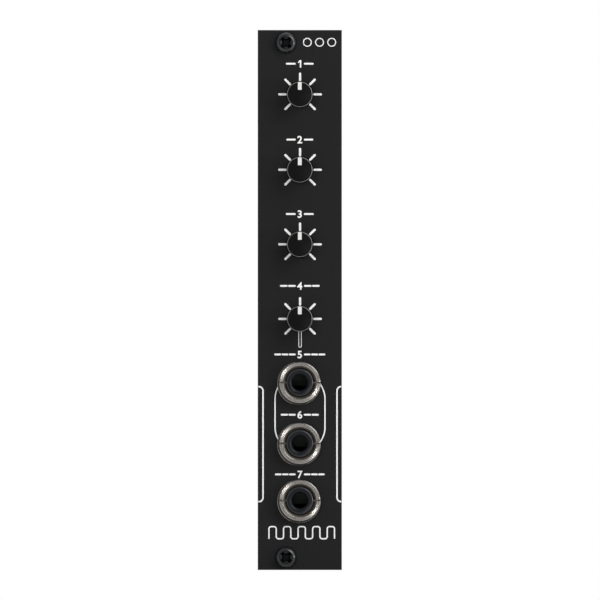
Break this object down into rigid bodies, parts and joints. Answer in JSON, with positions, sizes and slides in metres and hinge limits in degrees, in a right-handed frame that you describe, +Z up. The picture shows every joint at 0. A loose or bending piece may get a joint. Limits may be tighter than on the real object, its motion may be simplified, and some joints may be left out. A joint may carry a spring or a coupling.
{
  "type": "eurorack module",
  "caption": "Slim black synthesizer rack module: front panel with turning dials and plug sockets held by ring nuts, a circuit board with its parts and a power header behind.",
  "frame": {"origin": "on the panel's back plane, midway between the two panel screws", "axes": "+X to the right and +Z up, seen from the front, and +Y away from the user, into the rack"},
  "size_m": [0.02, 0.0277, 0.1284],
  "materials": {
    "panel": "fine matte black on aluminium",
    "screw_black": "black zinc plating",
    "knob": "moulded, satin black",
    "pointer": "moulded, white",
    "pot_cover": "moulded, black",
    "wafer": "pressed phenolic sheet with printed carbon",
    "tinned_steel": "tin plated sheet",
    "spring_bronze": "phosphor bronze, bright",
    "socket_plastic": "moulded, black",
    "nickel": "turned brass with nickel plating",
    "board": "glass fibre board with dark green solder mask",
    "header_plastic": "moulded, black",
    "gold": "thin gold plating",
    "can": "bright drawn can",
    "chip": "moulded epoxy, black",
    "ceramic_white": "ceramic body, dark coat and tinned ends",
    "ceramic_tan": "ceramic body and tinned ends"
  },
  "bodies": {
    "module": {"front_panel": "panel", "rail_screws": "screw_black", "dial_1_cover": "pot_cover", "dial_1_wafer": "wafer", "dial_1_bracket": "tinned_steel", "dial_1_terminals": "tinned_steel", "dial_2_cover": "pot_cover", "dial_2_wafer": "wafer", "dial_2_bracket": "tinned_steel", "dial_2_terminals": "tinned_steel", "dial_3_cover": "pot_cover", "dial_3_wafer": "wafer", "dial_3_bracket": "tinned_steel", "dial_3_terminals": "tinned_steel", "dial_4_cover": "pot_cover", "dial_4_wafer": "wafer", "dial_4_bracket": "tinned_steel", "dial_4_terminals": "tinned_steel", "socket_5_housing": "socket_plastic", "socket_5_sleeve_contact": "tinned_steel", "socket_5_tip_spring": "spring_bronze", "socket_5_switch_contact": "spring_bronze", "socket_5_nut": "nickel", "socket_5_washer": "nickel", "socket_6_housing": "socket_plastic", "socket_6_sleeve_contact": "tinned_steel", "socket_6_tip_spring": "spring_bronze", "socket_6_switch_contact": "spring_bronze", "socket_6_nut": "nickel", "socket_6_washer": "nickel", "socket_7_housing": "socket_plastic", "socket_7_sleeve_contact": "tinned_steel", "socket_7_tip_spring": "spring_bronze", "socket_7_switch_contact": "spring_bronze", "socket_7_nut": "nickel", "socket_7_washer": "nickel", "circuit_board": "board", "header_base": "header_plastic", "header_pins": "gold", "capacitor_bases": "header_plastic", "capacitor_cans": "can", "chips": "chip", "chip_leads": "tinned_steel", "transistors": "chip", "diodes": "chip", "resistors": "ceramic_white", "ceramic_capacitors": "ceramic_tan"},
    "dial_1": {"dial_1_knob": "knob", "dial_1_pointer": "pointer", "dial_1_wiper": "spring_bronze"},
    "dial_2": {"dial_2_knob": "knob", "dial_2_pointer": "pointer", "dial_2_wiper": "spring_bronze"},
    "dial_3": {"dial_3_knob": "knob", "dial_3_pointer": "pointer", "dial_3_wiper": "spring_bronze"},
    "dial_4": {"dial_4_knob": "knob", "dial_4_pointer": "pointer", "dial_4_wiper": "spring_bronze"}
  },
  "joints": [
    {"name": "dial_1_turn", "type": "hinge", "parent": "module", "child": "dial_1", "pos_m": [0.00325, 0, 0.04895], "axis": [0, 1, 0], "range_deg": [-140, 140]},
    {"name": "dial_2_turn", "type": "hinge", "parent": "module", "child": "dial_2", "pos_m": [0.00325, 0, 0.03099], "axis": [0, 1, 0], "range_deg": [-140, 140]},
    {"name": "dial_3_turn", "type": "hinge", "parent": "module", "child": "dial_3", "pos_m": [0.00325, 0, 0.01325], "axis": [0, 1, 0], "range_deg": [-140, 140]},
    {"name": "dial_4_turn", "type": "hinge", "parent": "module", "child": "dial_4", "pos_m": [0.00325, 0, -0.0045], "axis": [0, 1, 0], "range_deg": [-140, 140]}
  ]
}
